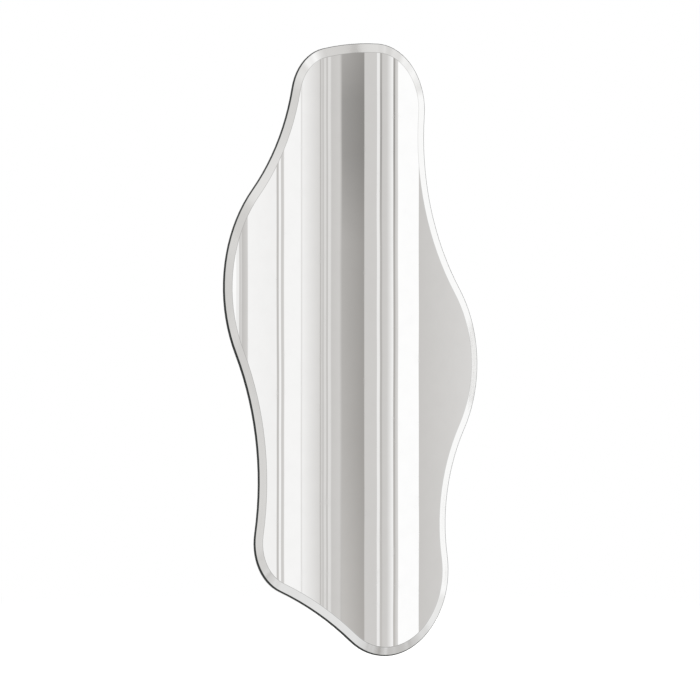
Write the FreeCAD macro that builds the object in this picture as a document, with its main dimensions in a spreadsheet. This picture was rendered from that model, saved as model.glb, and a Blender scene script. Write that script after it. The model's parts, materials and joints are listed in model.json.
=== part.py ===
import FreeCAD, Part
import math
import os
import Sketcher
from FreeCAD import Vector

# A frameless wall mirror with a wavy outline and a bevelled rim, on a smaller backing board.
#
# The wall is the plane y = 0, the mirror's front looks along -Y and +Z is up. The origin is on the
# wall, midway between the two hooks that the hanging rings sit on. Sizes are in millimetres.
#
# The outline is a closed chain of arcs. Six of them are the lobes, each given by its centre and
# radius about the outline's own centre, and each pair of neighbours is joined by a bridge, an arc
# that touches both. The crown is a convex bridge and the five waists are concave ones.

SIZES = [
    # the whole outline: the lobes, the waists and what hangs on the board keep pace with its height
    ("outline_height", 1000, "top to bottom of the glass"),
    ("drawn_height", 1000, "the height at which the sizes that keep pace are given"),
    # the outline, counter-clockwise seen from the front
    ("right_x", 59.5, "right lobe, centre"),
    ("right_z", -22.5, "right lobe, centre"),
    ("right_radius", 213, "right lobe"),
    ("upper_right_waist_radius", 417, "waist above the right lobe"),
    ("top_right_x", 50, "top right lobe, centre"),
    ("top_right_z", 399, "top right lobe, centre"),
    ("top_right_radius", 101, "top right lobe"),
    ("crown_radius", 535, "crown between the two top lobes"),
    ("top_left_x", -47, "top left lobe, centre"),
    ("top_left_z", 397, "top left lobe, centre"),
    ("top_left_radius", 89, "top left lobe"),
    ("upper_left_waist_radius", 365, "waist above the left lobe"),
    ("left_x", -36.5, "left lobe, centre"),
    ("left_z", 97, "left lobe, centre"),
    ("left_radius", 236, "left lobe"),
    ("lower_left_waist_radius", 460, "waist below the left lobe"),
    ("bottom_left_x", -125.5, "bottom left lobe, centre"),
    ("bottom_left_z", -302, "bottom left lobe, centre"),
    ("bottom_left_radius", 86, "bottom left lobe"),
    ("bottom_waist_radius", 640, "waist between the two bottom lobes"),
    ("bottom_right_x", 72, "bottom right lobe, centre"),
    ("bottom_right_z", -367, "bottom right lobe, centre"),
    ("bottom_right_radius", 133, "bottom right lobe"),
    ("lower_right_waist_radius", 303, "waist below the right lobe"),
    ("hang_height", 240, "hooks above the outline's centre"),
    # the glass and what is bonded to its back
    ("glass_thickness", 5, "float glass"),
    ("bevel_width", 15, "bevel across the front face"),
    ("bevel_depth", 1.3, "glass ground off at the rim"),
    ("silver_thickness", 0.1, "silvering and its paint"),
    ("silver_inset", 0.5, "silvering stops short of the rim"),
    ("film_thickness", 0.2, "shatter-proof film"),
    ("film_inset", 2, "film stops short of the rim"),
    ("bond_thickness", 1, "tape and adhesive between film and board"),
    ("bond_centre_drop", 20, "middle of the strips below the outline's centre"),
    ("tape_width", 20, "foam tape strip"),
    ("tape_length", 700, "foam tape strip"),
    ("side_tape_offset", 90, "side strips from the middle one"),
    ("bead_width", 12, "adhesive bead, squeezed flat"),
    ("bead_length", 640, "adhesive bead"),
    ("inner_bead_offset", 30, "inner beads from the middle"),
    ("outer_bead_offset", 60, "outer beads from the middle"),
    # the backing board
    ("board_thickness", 9, "fibreboard"),
    ("board_inset", 40, "board's rim inside the glass's rim"),
    ("board_chamfer", 3, "chamfer round the board's back"),
    # the hanging rings and the straps that hold them
    ("hook_pitch", 200, "between the two hooks"),
    ("wire_diameter", 3, "ring's wire"),
    ("ring_inner_width", 16, "inside the ring"),
    ("ring_leg_length", 5.5, "hinge axis to the start of the ring's round end"),
    ("ring_corner_radius", 3, "wire's centre line at the ring's corners"),
    ("ring_butt_gap", 0.4, "between the wire's two ends, inside the strap"),
    ("ring_rest_gap", 0.3, "ring clear of the board when it leans back"),
    ("hinge_clearance", 0.06, "radial, wire in the strap's fold"),
    ("strap_width", 12, "strap"),
    ("strap_sheet", 0.8, "strap's sheet steel"),
    ("strap_length", 34, "hinge axis to the strap's free end"),
    ("strap_seam", 0.1, "between the strap's two layers"),
    ("strap_bend_radius", 1.6, "sheet's centre line where the upper layer levels out"),
    ("strap_slope", 45, "upper layer's slope down from the fold, degrees"),
    ("strap_corner_radius", 4, "free end's corners"),
    ("strap_hole_diameter", 4, "screw holes in the strap"),
    ("upper_hole_drop", 9, "upper screw below the hinge axis"),
    ("lower_hole_drop", 26, "lower screw below the hinge axis"),
    # the self-adhesive pads that keep the board off the wall
    ("pad_height", 6, "wall to board"),
    ("pad_width", 20, "square pad"),
    ("pad_corner", 3, "pad's corners, cut off"),
    ("pad_rim_chamfer", 1.5, "round the pad's face at the wall"),
    ("top_pad_x", 70, "top pads either side of the outline's centre"),
    ("top_pad_z", 405, "top pads above the outline's centre"),
    ("low_pad_left_x", -115, "bottom left pad"),
    ("low_pad_right_x", 120, "bottom right pad"),
    ("low_pad_z", -340, "bottom pads, above the outline's centre"),
    # the screws, all alike
    ("screw_length", 9.5, "under the head"),
    ("screw_diameter", 3.5, "shank"),
    ("screw_tip_length", 2.5, "pointed end"),
    ("screw_head_diameter", 7, "pan head"),
    ("screw_head_height", 2.2, "pan head"),
    ("screw_head_chamfer", 0.8, "round the head's top"),
    ("screw_recess_width", 1, "arms of the cross recess"),
    ("screw_recess_span", 3.8, "across the cross recess"),
    ("screw_recess_depth", 1.2, "cross recess, from the head's top"),
    ("pilot_clearance", 0.05, "radial, screw in its pilot hole"),
    ("pilot_spare_depth", 0.3, "pilot hole beyond the screw's tip"),
]

# The outline's lobes, each with the bridge that leads on from it and that bridge's sense.
CONVEX = 1
CONCAVE = -1
LOBES = [
    ("right", "upper_right_waist_radius", CONCAVE),
    ("top_right", "crown_radius", CONVEX),
    ("top_left", "upper_left_waist_radius", CONCAVE),
    ("left", "lower_left_waist_radius", CONCAVE),
    ("bottom_left", "bottom_waist_radius", CONCAVE),
    ("bottom_right", "lower_right_waist_radius", CONCAVE),
]



def keeps_pace(name):
    """A size that grows and shrinks with the whole outline."""
    return f"(Sizes.{name} * Sizes.outline_height / Sizes.drawn_height)"


# Places that several pieces share, worked out from the sizes.
HANG_HEIGHT = keeps_pace("hang_height")
HALF_PITCH = f"({keeps_pace('hook_pitch')} / 2)"
RING_RADIUS = "(Sizes.ring_inner_width + Sizes.wire_diameter) / 2"
RING_LENGTH = f"(Sizes.ring_leg_length + {RING_RADIUS})"
HINGE_DROP = f"({RING_LENGTH} - Sizes.wire_diameter / 2)"
FOLD_RADIUS = "(Sizes.wire_diameter / 2 + Sizes.hinge_clearance)"
HINGE_LIFT = f"({FOLD_RADIUS} + Sizes.strap_sheet)"
HINGE_Y = f"-(Sizes.pad_height - {HINGE_LIFT})"
STRAP_THICKNESS = "(2 * Sizes.strap_sheet + Sizes.strap_seam)"
STRAP_FACE_Y = f"-(Sizes.pad_height - {STRAP_THICKNESS})"
BOARD_FRONT = "(Sizes.pad_height + Sizes.board_thickness)"
FILM_BACK = f"({BOARD_FRONT} + Sizes.bond_thickness)"
SILVER_BACK = f"({FILM_BACK} + Sizes.film_thickness)"
GLASS_BACK = f"({SILVER_BACK} + Sizes.silver_thickness)"

TAPES = [
    ("left", f"-{keeps_pace('side_tape_offset')}"),
    ("middle", "0"),
    ("right", keeps_pace("side_tape_offset")),
]
BEADS = [
    ("outer_left", f"-{keeps_pace('outer_bead_offset')}"),
    ("inner_left", f"-{keeps_pace('inner_bead_offset')}"),
    ("inner_right", keeps_pace("inner_bead_offset")),
    ("outer_right", keeps_pace("outer_bead_offset")),
]
HANGERS = [("left", f"-{HALF_PITCH}"), ("right", HALF_PITCH)]
HANGER_SCREWS = [("upper", "Sizes.upper_hole_drop"), ("lower", "Sizes.lower_hole_drop")]
PADS = [
    ("top_left", f"-{keeps_pace('top_pad_x')}", keeps_pace("top_pad_z")),
    ("top_right", keeps_pace("top_pad_x"), keeps_pace("top_pad_z")),
    ("bottom_left", keeps_pace("low_pad_left_x"), keeps_pace("low_pad_z")),
    ("bottom_right", keeps_pace("low_pad_right_x"), keeps_pace("low_pad_z")),
]

# The round wire is drawn with this many flat sides, which keeps the rings' facets few.
WIRE_SIDES = 12

# What the sketcher calls an edge's ends and centre, and the sketch's own origin.
START, END, CENTRE = 1, 2, 3
ORIGIN = (-1, 1)
NORMAL = Vector(0, 0, 1)
NEGLIGIBLE = 1e-4

doc = FreeCAD.newDocument("wavy_mirror")
sheet = doc.addObject("Spreadsheet::Sheet", "Sizes")
pieces = []


def fill_sheet():
    for row, (name, size, note) in enumerate(SIZES, start=1):
        sheet.set(f"A{row}", name)
        sheet.set(f"B{row}", str(size))
        sheet.set(f"C{row}", note)
        sheet.setAlias(f"B{row}", name)
    doc.recompute()


def number(expression):
    """What an expression over the sheet comes to now."""
    result = sheet.evalExpression(expression)
    return float(getattr(result, "Value", result))


def new_body(name):
    body = doc.addObject("PartDesign::Body", name)
    body.Label = name
    return body


def place(body, x=None, y=None, z=None):
    """Bind a body's position to expressions."""
    for axis, expression in (("x", x), ("y", y), ("z", z)):
        if expression is not None:
            body.setExpression(f"Placement.Base.{axis}", expression)


def new_sketch(body, name, plane, offset=None):
    """A sketch on one of the body's own planes, set off along that plane's normal."""
    sketch = body.newObject("Sketcher::SketchObject", name)
    support = [feature for feature in body.Origin.OriginFeatures if feature.Role == plane]
    sketch.AttachmentSupport = [(support[0], "")]
    sketch.MapMode = "FlatFace"
    if offset is not None:
        sketch.setExpression("AttachmentOffset.Base.z", offset)
    return sketch


def bind(sketch, kind, *where, to):
    """A dimension of the sketch, tied to an expression."""
    index = sketch.addConstraint(Sketcher.Constraint(kind, *where, number(to)))
    sketch.setExpression(f"Constraints[{index}]", to)


def pin_point(sketch, shape, end, x, y):
    bind(sketch, "DistanceX", *ORIGIN, shape, end, to=x)
    bind(sketch, "DistanceY", *ORIGIN, shape, end, to=y)


def draw_circle(sketch, x, y, diameter):
    circle = Part.Circle(Vector(number(x), number(y), 0), NORMAL, number(diameter) / 2)
    index = sketch.addGeometry(circle)
    pin_point(sketch, index, CENTRE, x, y)
    bind(sketch, "Diameter", index, to=diameter)


def draw_polygon(sketch, corners):
    """A closed run of lines, with each corner pinned to a pair of expressions."""
    points = [Vector(number(x), number(y), 0) for x, y in corners]
    indices = []
    for start, end in zip(points, points[1:] + points[:1]):
        indices.append(sketch.addGeometry(Part.LineSegment(start, end)))
    for index, following in zip(indices, indices[1:] + indices[:1]):
        sketch.addConstraint(Sketcher.Constraint("Coincident", index, END, following, START))
    for index, (x, y) in zip(indices, corners):
        pin_point(sketch, index, START, x, y)


def rectangle(width, height, y="0"):
    """The corners of a rectangle with its middle at x = 0 and the given y."""
    return [
        (f"{side_x}({width}) / 2", f"{y} {side_y} ({height}) / 2")
        for side_x, side_y in (("-", "-"), ("", "-"), ("", "+"), ("-", "+"))
    ]


def even_polygon(diameter, sides):
    """A polygon with its corners on a circle about the origin, the first on the X axis."""
    turns = [f"{360 * i / sides} deg" for i in range(sides)]
    return [(f"{diameter} / 2 * cos({t})", f"{diameter} / 2 * sin({t})") for t in turns]


def pad(body, sketch, length):
    feature = body.newObject("PartDesign::Pad", "Pad")
    feature.Profile = sketch
    feature.setExpression("Length", length)
    return feature


def revolve(body, sketch):
    """Turn a half section about the body's Y axis."""
    feature = body.newObject("PartDesign::Revolution", "Revolution")
    feature.Profile = sketch
    feature.ReferenceAxis = (sketch, ["V_Axis"])
    feature.Angle = 360
    return feature


def pocket(body, sketch, depth, towards_wall=False):
    """Cut a sketch into the body from its wall side, or towards the wall, and check that it cut."""
    doc.recompute()
    before = body.Shape.Volume
    feature = body.newObject("PartDesign::Pocket", "Pocket")
    feature.Profile = sketch
    feature.Reversed = not towards_wall
    feature.setExpression("Length", depth)
    doc.recompute()
    if feature.Shape.isNull() or not 0 < feature.Shape.Volume < before:
        raise RuntimeError(f"{body.Label}: {sketch.Label} cut nothing")
    return feature


def edges_where(feature, test):
    """Names of the feature's edges that pass a test."""
    doc.recompute()
    edges = feature.Shape.Edges
    names = [f"Edge{i}" for i, edge in enumerate(edges, start=1) if test(edge)]
    if not names:
        raise RuntimeError(f"{feature.Label}: no edge found")
    return names


def lies_at_y(edge, y):
    return all(abs(vertex.Y - y) < NEGLIGIBLE for vertex in edge.Vertexes)


def runs_along_y(edge):
    start, end = edge.Vertexes[0].Point, edge.Vertexes[-1].Point
    return abs(end.y - start.y) > NEGLIGIBLE


def angle_of(point, centre):
    return math.atan2(point.y - centre.y, point.x - centre.x)


def meeting_point(first, second, from_first, from_second, side):
    """The point at given distances from two others, on the left (1) or right (-1) of their line."""
    along = (second - first).normalize()
    gap = first.distanceToPoint(second)
    advance = (from_first**2 - from_second**2 + gap**2) / (2 * gap)
    aside = math.sqrt(from_first**2 - advance**2)
    left = Vector(-along.y, along.x, 0)
    return first + along * advance + left * (side * aside)


def outline_sketch(body, offset, inset="0"):
    """The mirror's outline, or a copy of it drawn in by an even inset."""
    lobes = []
    for name, bridge, sense in LOBES:
        centre = Vector(number(keeps_pace(f"{name}_x")), number(keeps_pace(f"{name}_z")), 0)
        radius_text = f"{keeps_pace(f'{name}_radius')} - ({inset})"
        sign = "-" if sense == CONVEX else "+"
        bridge_text = f"{keeps_pace(bridge)} {sign} ({inset})"
        lobes.append((name, centre, radius_text, bridge_text, sense))

    count = len(lobes)
    bridge_centres, leaves, arrives = [], [], []
    for i, (_, centre, radius_text, bridge_text, sense) in enumerate(lobes):
        _, next_centre, next_radius_text, _, _ = lobes[(i + 1) % count]
        radius, next_radius, bridge = map(number, (radius_text, next_radius_text, bridge_text))
        middle = meeting_point(
            centre, next_centre, bridge - sense * radius, bridge - sense * next_radius, sense
        )
        bridge_centres.append(middle)
        leaves.append(centre + (centre - middle).normalize() * (sense * radius))
        arrives.append(next_centre + (next_centre - middle).normalize() * (sense * next_radius))

    sketch = new_sketch(body, "Outline", "XZ_Plane", offset)
    lobe_arcs, bridge_arcs = [], []
    for i, (_, centre, radius_text, bridge_text, sense) in enumerate(lobes):
        begin, leave, arrive = arrives[i - 1], leaves[i], arrives[i]
        ends = (angle_of(begin, centre), angle_of(leave, centre))
        circle = Part.Circle(centre, NORMAL, number(radius_text))
        lobe_arcs.append(sketch.addGeometry(Part.ArcOfCircle(circle, *ends)))
        middle = bridge_centres[i]
        ends = (angle_of(leave, middle), angle_of(arrive, middle))
        circle = Part.Circle(middle, NORMAL, number(bridge_text))
        bridge_arcs.append(sketch.addGeometry(Part.ArcOfCircle(circle, *ends[::sense])))

    for i, (name, _, radius_text, bridge_text, sense) in enumerate(lobes):
        lobe, bridge, following = lobe_arcs[i], bridge_arcs[i], lobe_arcs[(i + 1) % count]
        near, far = (START, END)[::sense]
        sketch.addConstraint(Sketcher.Constraint("Tangent", lobe, END, bridge, near))
        sketch.addConstraint(Sketcher.Constraint("Tangent", bridge, far, following, START))
        bind(sketch, "Radius", lobe, to=radius_text)
        bind(sketch, "Radius", bridge, to=bridge_text)
        pin_point(sketch, lobe, CENTRE, keeps_pace(f"{name}_x"), keeps_pace(f"{name}_z"))
    return sketch


def outline_plate(name, offset, thickness, inset="0"):
    """A plate with the mirror's outline, drawn in by the inset, standing off the wall."""
    body = new_body(name)
    place(body, z=f"-{HANG_HEIGHT}")
    feature = pad(body, outline_sketch(body, offset, inset), thickness)
    return body, feature


def chamfer(body, feature, test, depth, width=None):
    """Chamfer the edges that pass a test, evenly or by a depth and a width of their own."""
    cut = body.newObject("PartDesign::Chamfer", "Chamfer")
    cut.Base = (feature, edges_where(feature, test))
    cut.setExpression("Size", depth)
    if width is not None:
        cut.ChamferType = "Two distances"
        cut.setExpression("Size2", width)
    return cut


def mirror_glass():
    """The glass, with its bevel ground all round the front."""
    body, plate = outline_plate("mirror_glass", GLASS_BACK, "Sizes.glass_thickness")
    front = -number(f"{GLASS_BACK} + Sizes.glass_thickness")
    depth, width = "Sizes.bevel_depth", "Sizes.bevel_width"
    chamfer(body, plate, lambda edge: lies_at_y(edge, front), depth, width)
    pieces.append(body)


def silver_backing():
    body, _ = outline_plate(
        "silver_backing", SILVER_BACK, "Sizes.silver_thickness", "Sizes.silver_inset"
    )
    pieces.append(body)


def safety_film():
    body, _ = outline_plate("safety_film", FILM_BACK, "Sizes.film_thickness", "Sizes.film_inset")
    pieces.append(body)


def bonding_strip(name, x, width, length):
    """A strip between the film and the board: foam tape, or a bead of adhesive squeezed flat."""
    body = new_body(name)
    place(body, x=x, z=f"-({HANG_HEIGHT} + {keeps_pace('bond_centre_drop')})")
    sketch = new_sketch(body, "Strip", "XZ_Plane", BOARD_FRONT)
    draw_polygon(sketch, rectangle(width, length))
    pad(body, sketch, "Sizes.bond_thickness")
    pieces.append(body)


def backing_board():
    """The board, chamfered round its back, with a pilot hole for every screw."""
    body, plate = outline_plate(
        "backing_board", "Sizes.pad_height", "Sizes.board_thickness", "Sizes.board_inset"
    )
    back = -number("Sizes.pad_height")
    chamfer(body, plate, lambda edge: lies_at_y(edge, back), "Sizes.board_chamfer")

    diameter = "Sizes.screw_diameter + 2 * Sizes.pilot_clearance"
    holes = new_sketch(body, "Pilots", "XZ_Plane", "Sizes.pad_height")
    for _, x in HANGERS:
        for _, drop in HANGER_SCREWS:
            draw_circle(holes, x, f"{HANG_HEIGHT} - {HINGE_DROP} - {drop}", diameter)
    pocket(body, holes, f"Sizes.screw_length + Sizes.pilot_spare_depth - {STRAP_THICKNESS}")
    pieces.append(body)


def hanger_strap(side, x):
    """A strip of sheet steel folded in two round the ring's bar, with two screw holes."""
    body = new_body(f"hanger_strap_{side}")
    place(body, x=x, y=HINGE_Y, z=f"-{HINGE_DROP}")

    # The strip's centre line, in the plane of Y (across) and Z (up), from the end against the
    # board, round the hinge axis and down to the other end.
    bend_text = f"{FOLD_RADIUS} + Sizes.strap_sheet / 2"
    lower_text = f"-({bend_text})"
    upper_text = f"-({bend_text}) + Sizes.strap_sheet + Sizes.strap_seam"
    fold, lower, upper = number(bend_text), number(lower_text), number(upper_text)
    bend, length = number("Sizes.strap_bend_radius"), number("Sizes.strap_length")
    slope = math.radians(number("Sizes.strap_slope"))
    off_fold = Vector(fold * math.cos(slope), -fold * math.sin(slope), 0)
    down = Vector(-math.sin(slope), -math.cos(slope), 0)
    run = (off_fold.x - upper - bend * (1 - math.cos(slope))) / math.sin(slope)
    onto_bend = off_fold + down * run
    bend_centre = onto_bend + Vector(math.cos(slope), -math.sin(slope), 0) * bend
    level = Vector(upper, bend_centre.y, 0)

    path = new_sketch(body, "CentreLine", "YZ_Plane")
    against_board = path.addGeometry(
        Part.LineSegment(Vector(lower, -length, 0), Vector(lower, 0, 0))
    )
    fold_circle = Part.Circle(Vector(0, 0, 0), NORMAL, fold)
    round_ring = path.addGeometry(Part.ArcOfCircle(fold_circle, -slope, math.pi))
    sloping = path.addGeometry(Part.LineSegment(off_fold, onto_bend))
    bend_circle = Part.Circle(bend_centre, NORMAL, bend)
    ends = (angle_of(onto_bend, bend_centre), angle_of(level, bend_centre))
    if ends[1] < ends[0]:
        ends = ends[0], ends[1] + 2 * math.pi
    levelling = path.addGeometry(Part.ArcOfCircle(bend_circle, *ends))
    outer_layer = path.addGeometry(Part.LineSegment(level, Vector(upper, -length, 0)))

    pin_point(path, against_board, START, lower_text, "-Sizes.strap_length")
    pin_point(path, round_ring, CENTRE, "0", "0")
    bind(path, "Radius", round_ring, to=bend_text)
    bind(path, "Radius", levelling, to="Sizes.strap_bend_radius")
    pin_point(path, outer_layer, END, upper_text, "-Sizes.strap_length")
    for kind, *where in (
        ("Vertical", outer_layer),
        ("Tangent", against_board, END, round_ring, END),
        ("Tangent", round_ring, START, sloping, START),
        ("Tangent", sloping, END, levelling, START),
        ("Tangent", levelling, END, outer_layer, START),
    ):
        path.addConstraint(Sketcher.Constraint(kind, *where))
    off_fold_text = f"({bend_text}) * cos(Sizes.strap_slope * 1 deg)"
    bind(path, "DistanceX", *ORIGIN, sloping, START, to=off_fold_text)

    section = new_sketch(body, "Section", "XY_Plane", "-Sizes.strap_length")
    corners = rectangle("Sizes.strap_width", "Sizes.strap_sheet", y=lower_text)
    draw_polygon(section, corners)
    doc.recompute()
    strip = body.newObject("PartDesign::AdditivePipe", "Strip")
    strip.Profile = section
    strip.Spine = (path, [f"Edge{i + 1}" for i in range(path.GeometryCount)])

    def at_free_corner(edge):
        low = all(abs(vertex.Z + length) < NEGLIGIBLE for vertex in edge.Vertexes)
        return low and abs(edge.Vertexes[0].Y - edge.Vertexes[-1].Y) > NEGLIGIBLE

    rounded = body.newObject("PartDesign::Fillet", "Corners")
    rounded.Base = (strip, edges_where(strip, at_free_corner))
    rounded.setExpression("Radius", "Sizes.strap_corner_radius")

    holes = new_sketch(body, "ScrewHoles", "XZ_Plane", HINGE_LIFT)
    for _, drop in HANGER_SCREWS:
        draw_circle(holes, "0", f"-{drop}", "Sizes.strap_hole_diameter")
    pocket(body, holes, STRAP_THICKNESS, towards_wall=True)
    pieces.append(body)


def hanger_ring(side, x):
    """A D-shaped wire ring, turned up and leaning back on the board."""
    body = new_body(f"hanger_ring_{side}")
    place(body, x=x, y=HINGE_Y, z=f"-{HINGE_DROP}")
    body.Placement.Rotation = FreeCAD.Rotation(Vector(1, 0, 0), 1)
    lean = f"asin(({HINGE_LIFT} - Sizes.wire_diameter / 2 - Sizes.ring_rest_gap) / {RING_LENGTH})"
    body.setExpression("Placement.Rotation.Angle", lean)

    half, corner = number(RING_RADIUS), number("Sizes.ring_corner_radius")
    leg, gap = number("Sizes.ring_leg_length"), number("Sizes.ring_butt_gap / 2")
    path = new_sketch(body, "CentreLine", "XZ_Plane")
    right_bar = path.addGeometry(Part.LineSegment(Vector(gap, 0, 0), Vector(half - corner, 0, 0)))
    circle = Part.Circle(Vector(half - corner, corner, 0), NORMAL, corner)
    right_corner = path.addGeometry(Part.ArcOfCircle(circle, -math.pi / 2, 0))
    right_leg = path.addGeometry(Part.LineSegment(Vector(half, corner, 0), Vector(half, leg, 0)))
    circle = Part.Circle(Vector(0, leg, 0), NORMAL, half)
    round_end = path.addGeometry(Part.ArcOfCircle(circle, 0, math.pi))
    left_leg = path.addGeometry(Part.LineSegment(Vector(-half, leg, 0), Vector(-half, corner, 0)))
    circle = Part.Circle(Vector(corner - half, corner, 0), NORMAL, corner)
    left_corner = path.addGeometry(Part.ArcOfCircle(circle, math.pi, 1.5 * math.pi))
    left_bar = path.addGeometry(Part.LineSegment(Vector(corner - half, 0, 0), Vector(-gap, 0, 0)))
    chain = [right_bar, right_corner, right_leg, round_end, left_leg, left_corner, left_bar]
    for shape, following in zip(chain, chain[1:]):
        path.addConstraint(Sketcher.Constraint("Tangent", shape, END, following, START))
    pin_point(path, right_bar, START, "Sizes.ring_butt_gap / 2", "0")
    pin_point(path, left_bar, END, "-Sizes.ring_butt_gap / 2", "0")
    pin_point(path, round_end, CENTRE, "0", "Sizes.ring_leg_length")
    bind(path, "Radius", round_end, to=RING_RADIUS)
    for shape in (right_corner, left_corner):
        bind(path, "Radius", shape, to="Sizes.ring_corner_radius")
    path.addConstraint(Sketcher.Constraint("Horizontal", right_bar))
    path.addConstraint(Sketcher.Constraint("Horizontal", left_bar))

    section = new_sketch(body, "Section", "YZ_Plane", "Sizes.ring_butt_gap / 2")
    draw_polygon(section, even_polygon("Sizes.wire_diameter", WIRE_SIDES))
    doc.recompute()
    wire = body.newObject("PartDesign::AdditivePipe", "Wire")
    wire.Profile = section
    wire.Spine = (path, [f"Edge{i + 1}" for i in range(path.GeometryCount)])
    pieces.append(body)


def screw(name, x, seat_y, z):
    """A pan-head wood screw with its head towards the wall. Its seat is at y = 0 of the body."""
    body = new_body(name)
    place(body, x=x, y=seat_y, z=z)
    profile = new_sketch(body, "HalfSection", "XY_Plane")
    shank, head = "Sizes.screw_diameter / 2", "Sizes.screw_head_diameter / 2"
    corners = [
        ("0", "-Sizes.screw_length"),
        (shank, "Sizes.screw_tip_length - Sizes.screw_length"),
        (shank, "0"),
        (head, "0"),
        (head, "Sizes.screw_head_height - Sizes.screw_head_chamfer"),
        (f"{head} - Sizes.screw_head_chamfer", "Sizes.screw_head_height"),
        ("0", "Sizes.screw_head_height"),
    ]
    draw_polygon(profile, corners)
    revolve(body, profile)

    # The cross recess is one bar and then another across it, cut down from the head's top.
    span, width = "Sizes.screw_recess_span", "Sizes.screw_recess_width"
    for arm, sizes in (("Bar", (span, width)), ("CrossBar", (width, span))):
        recess = new_sketch(body, arm, "XZ_Plane", "-Sizes.screw_head_height")
        draw_polygon(recess, rectangle(*sizes))
        pocket(body, recess, "Sizes.screw_recess_depth")
    return body


def hanger_screws():
    """The four screws of the two straps, as one group of separate solids."""
    group = doc.addObject("Part::Compound", "hanger_screws")
    group.Label = "hanger_screws"
    group.Links = [
        screw(f"{side}_{which}_screw", x, STRAP_FACE_Y, f"-{HINGE_DROP} - {drop}")
        for side, x in HANGERS
        for which, drop in HANGER_SCREWS
    ]
    pieces.append(group)


def wall_pad(name, x, z):
    """A square, self-adhesive rubber pad that keeps the board off the wall."""
    body = new_body(f"wall_pad_{name}")
    place(body, x=x, y="-Sizes.pad_height", z=f"{z} - {HANG_HEIGHT}")
    square = new_sketch(body, "Square", "XZ_Plane")
    draw_polygon(square, rectangle("Sizes.pad_width", "Sizes.pad_width"))
    block = pad(body, square, "Sizes.pad_height")
    block.Reversed = True
    cornered = chamfer(body, block, runs_along_y, "Sizes.pad_corner")
    wall = number("Sizes.pad_height")
    chamfer(body, cornered, lambda edge: lies_at_y(edge, wall), "Sizes.pad_rim_chamfer")
    pieces.append(body)


def build():
    fill_sheet()
    mirror_glass()
    silver_backing()
    safety_film()
    for side, x in TAPES:
        bonding_strip(f"foam_tape_{side}", x, "Sizes.tape_width", keeps_pace("tape_length"))
    for side, x in BEADS:
        bonding_strip(f"adhesive_bead_{side}", x, "Sizes.bead_width", keeps_pace("bead_length"))
    backing_board()
    for side, x in HANGERS:
        hanger_strap(side, x)
        hanger_ring(side, x)
    hanger_screws()
    for name, x, z in PADS:
        wall_pad(name, x, z)
    doc.recompute()


def check_and_export():
    for thing in doc.Objects:
        if "Invalid" in thing.State or "Error" in thing.State:
            raise RuntimeError(f"{thing.Label}: {thing.State}")
    for piece in pieces:
        if piece.Shape.isNull() or not piece.Shape.isValid() or not piece.Shape.Solids:
            raise RuntimeError(f"{piece.Label} is not a valid solid")
    os.makedirs("parts", exist_ok=True)
    for piece in pieces:
        piece.Shape.exportStep(f"parts/{piece.Label}.step")
        box = piece.Shape.BoundBox
        print(
            f"{piece.Label}: {len(piece.Shape.Solids)} solid(s), {piece.Shape.Volume:.1f} mm3,"
            f" x {box.XMin:.2f}..{box.XMax:.2f}, y {box.YMin:.2f}..{box.YMax:.2f},"
            f" z {box.ZMin:.2f}..{box.ZMax:.2f}"
        )


build()
check_and_export()
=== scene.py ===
import json
import math

import bmesh
import bpy
from mathutils import Matrix, Vector

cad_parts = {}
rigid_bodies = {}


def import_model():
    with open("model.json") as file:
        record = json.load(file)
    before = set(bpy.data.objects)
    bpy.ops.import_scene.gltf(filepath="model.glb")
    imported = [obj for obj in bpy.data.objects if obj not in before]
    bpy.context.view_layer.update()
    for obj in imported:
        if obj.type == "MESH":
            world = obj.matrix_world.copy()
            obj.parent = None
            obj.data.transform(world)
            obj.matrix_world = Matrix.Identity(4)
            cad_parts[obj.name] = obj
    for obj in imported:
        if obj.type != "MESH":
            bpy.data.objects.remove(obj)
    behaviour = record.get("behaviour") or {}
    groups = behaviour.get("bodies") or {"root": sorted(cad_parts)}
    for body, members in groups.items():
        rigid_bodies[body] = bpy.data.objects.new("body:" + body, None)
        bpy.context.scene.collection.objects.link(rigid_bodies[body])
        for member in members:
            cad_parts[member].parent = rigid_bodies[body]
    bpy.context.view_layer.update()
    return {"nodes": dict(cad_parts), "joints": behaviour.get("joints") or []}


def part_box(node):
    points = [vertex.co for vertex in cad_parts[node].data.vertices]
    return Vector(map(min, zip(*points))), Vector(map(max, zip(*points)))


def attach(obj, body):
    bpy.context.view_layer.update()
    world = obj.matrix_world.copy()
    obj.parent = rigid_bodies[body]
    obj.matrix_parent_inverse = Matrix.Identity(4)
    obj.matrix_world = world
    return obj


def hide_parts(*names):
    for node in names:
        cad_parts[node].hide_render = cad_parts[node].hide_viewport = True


# The looks of the wavy wall mirror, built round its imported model. Lengths are in metres, in the
# model's own frame: the wall is the plane y = 0, the mirror's front looks along -Y and +Z is up.
# Colours are linear, and a display grey is one as a screen shows it.

MM = 0.001

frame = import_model()
nodes = frame["nodes"]

GLASS_LOW, GLASS_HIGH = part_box("mirror_glass")
CENTRE = Vector((0, GLASS_LOW.y, (GLASS_LOW.z + GLASS_HIGH.z) / 2))

# The glass: its bevel, the narrow ground edge where the bevel meets the rim, painted dark as
# shade, and the fine painted shade line where the bevel meets the face, the last two as widths
# across the bevel. The painted dark edge grows wider round the lower left, where the outline
# faces against the lean below.
BEVEL_WIDTH = 15 * MM
BEVEL_DEPTH = 1.3 * MM
ARRIS_AND_SHADE_WIDTH = 0.75 * MM
ARRIS_SHADE_GROWTH = 1.7 * MM
ARRIS_SHADE_LEAN = (0.45, 0.0, 0.8)
CREASE_SHADE_WIDTH = 1.1 * MM

# How squarely a face of the plate looks to the front. Over the first limit it is the mirror's
# face, then come the bevel and the rim, and under the last it is the plate's back.
FACING_LIMITS = (0.9999, 0.5, -0.5)

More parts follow.
